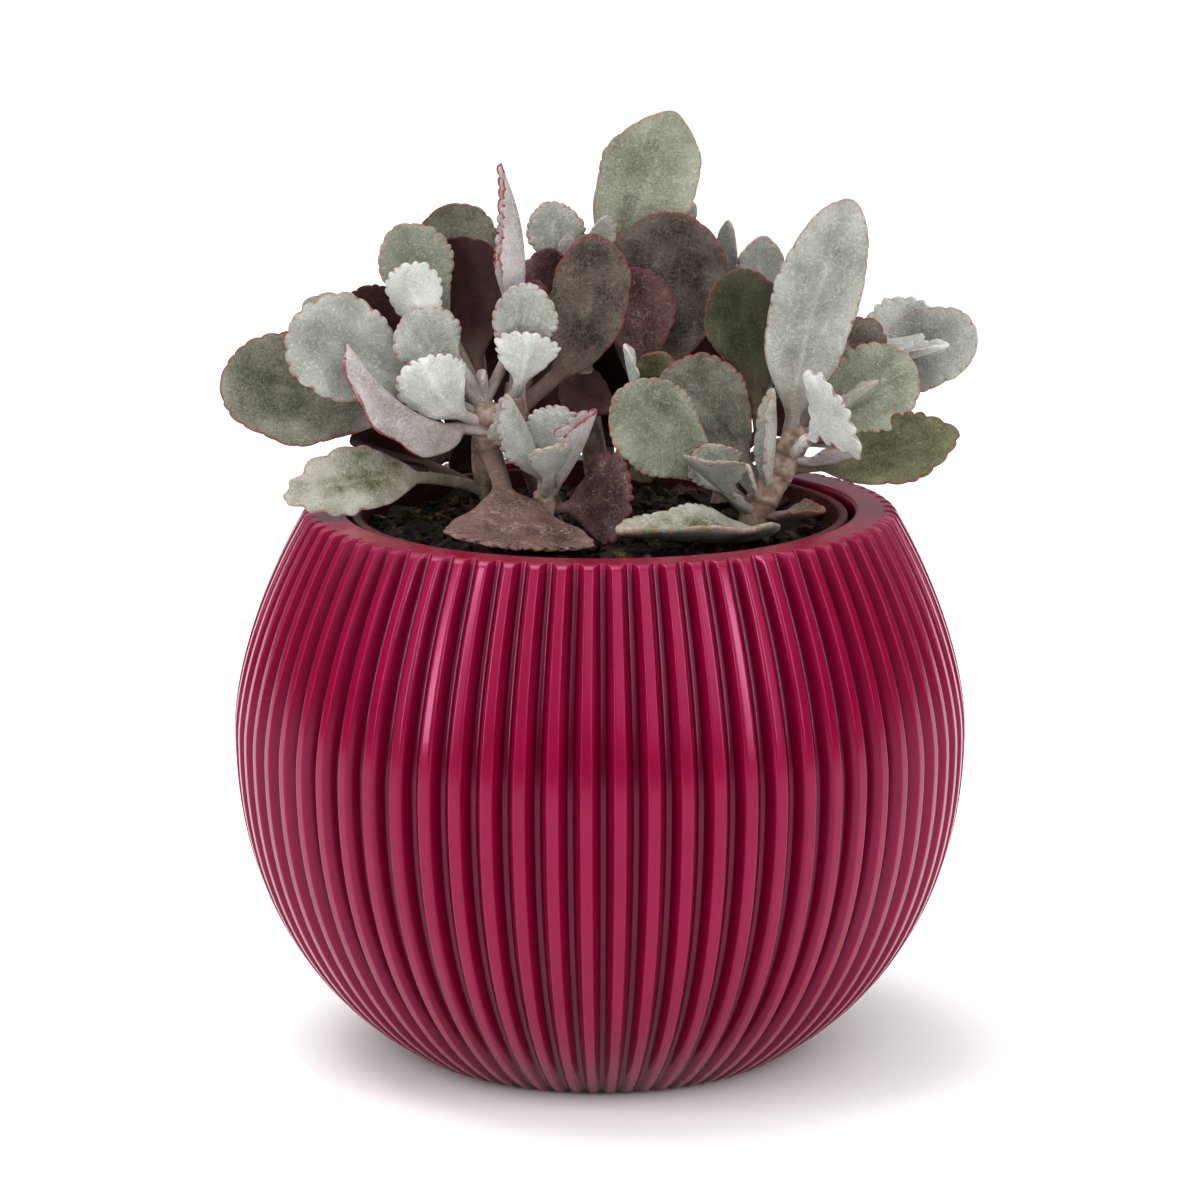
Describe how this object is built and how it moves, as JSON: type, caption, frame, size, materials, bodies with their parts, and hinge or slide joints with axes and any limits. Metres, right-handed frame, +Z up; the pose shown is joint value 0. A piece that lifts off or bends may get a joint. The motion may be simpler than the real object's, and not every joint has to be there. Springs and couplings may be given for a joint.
{
  "type": "potted flower dust plant",
  "caption": "Succulent with frosted, toothed leaves in a thin nursery pot, standing in a ribbed ball planter.",
  "frame": {"origin": "centre of the planter's flat underside", "axes": "+Z up along the planter's axis, -Y towards the side the picture shows, +X to its right"},
  "size_m": [0.1488, 0.1448, 0.1853],
  "materials": {
    "glazed_planter": "glossy magenta glaze",
    "nursery_plastic": "dark red-brown, satin",
    "bark_mix": "damp bark and peat, rough",
    "frosted_leaf": "grey-green leaf with white bloom and red-pink teeth"
  },
  "bodies": {
    "root": {"planter": "glazed_planter", "nursery_pot": "nursery_plastic", "soil": "bark_mix", "shoot_left": "frosted_leaf", "shoot_middle": "frosted_leaf", "shoot_front": "frosted_leaf", "shoot_tall": "frosted_leaf", "shoot_right": "frosted_leaf", "shoot_back_right": "frosted_leaf", "shoot_back_left": "frosted_leaf", "shoot_back": "frosted_leaf"}
  },
  "joints": []
}
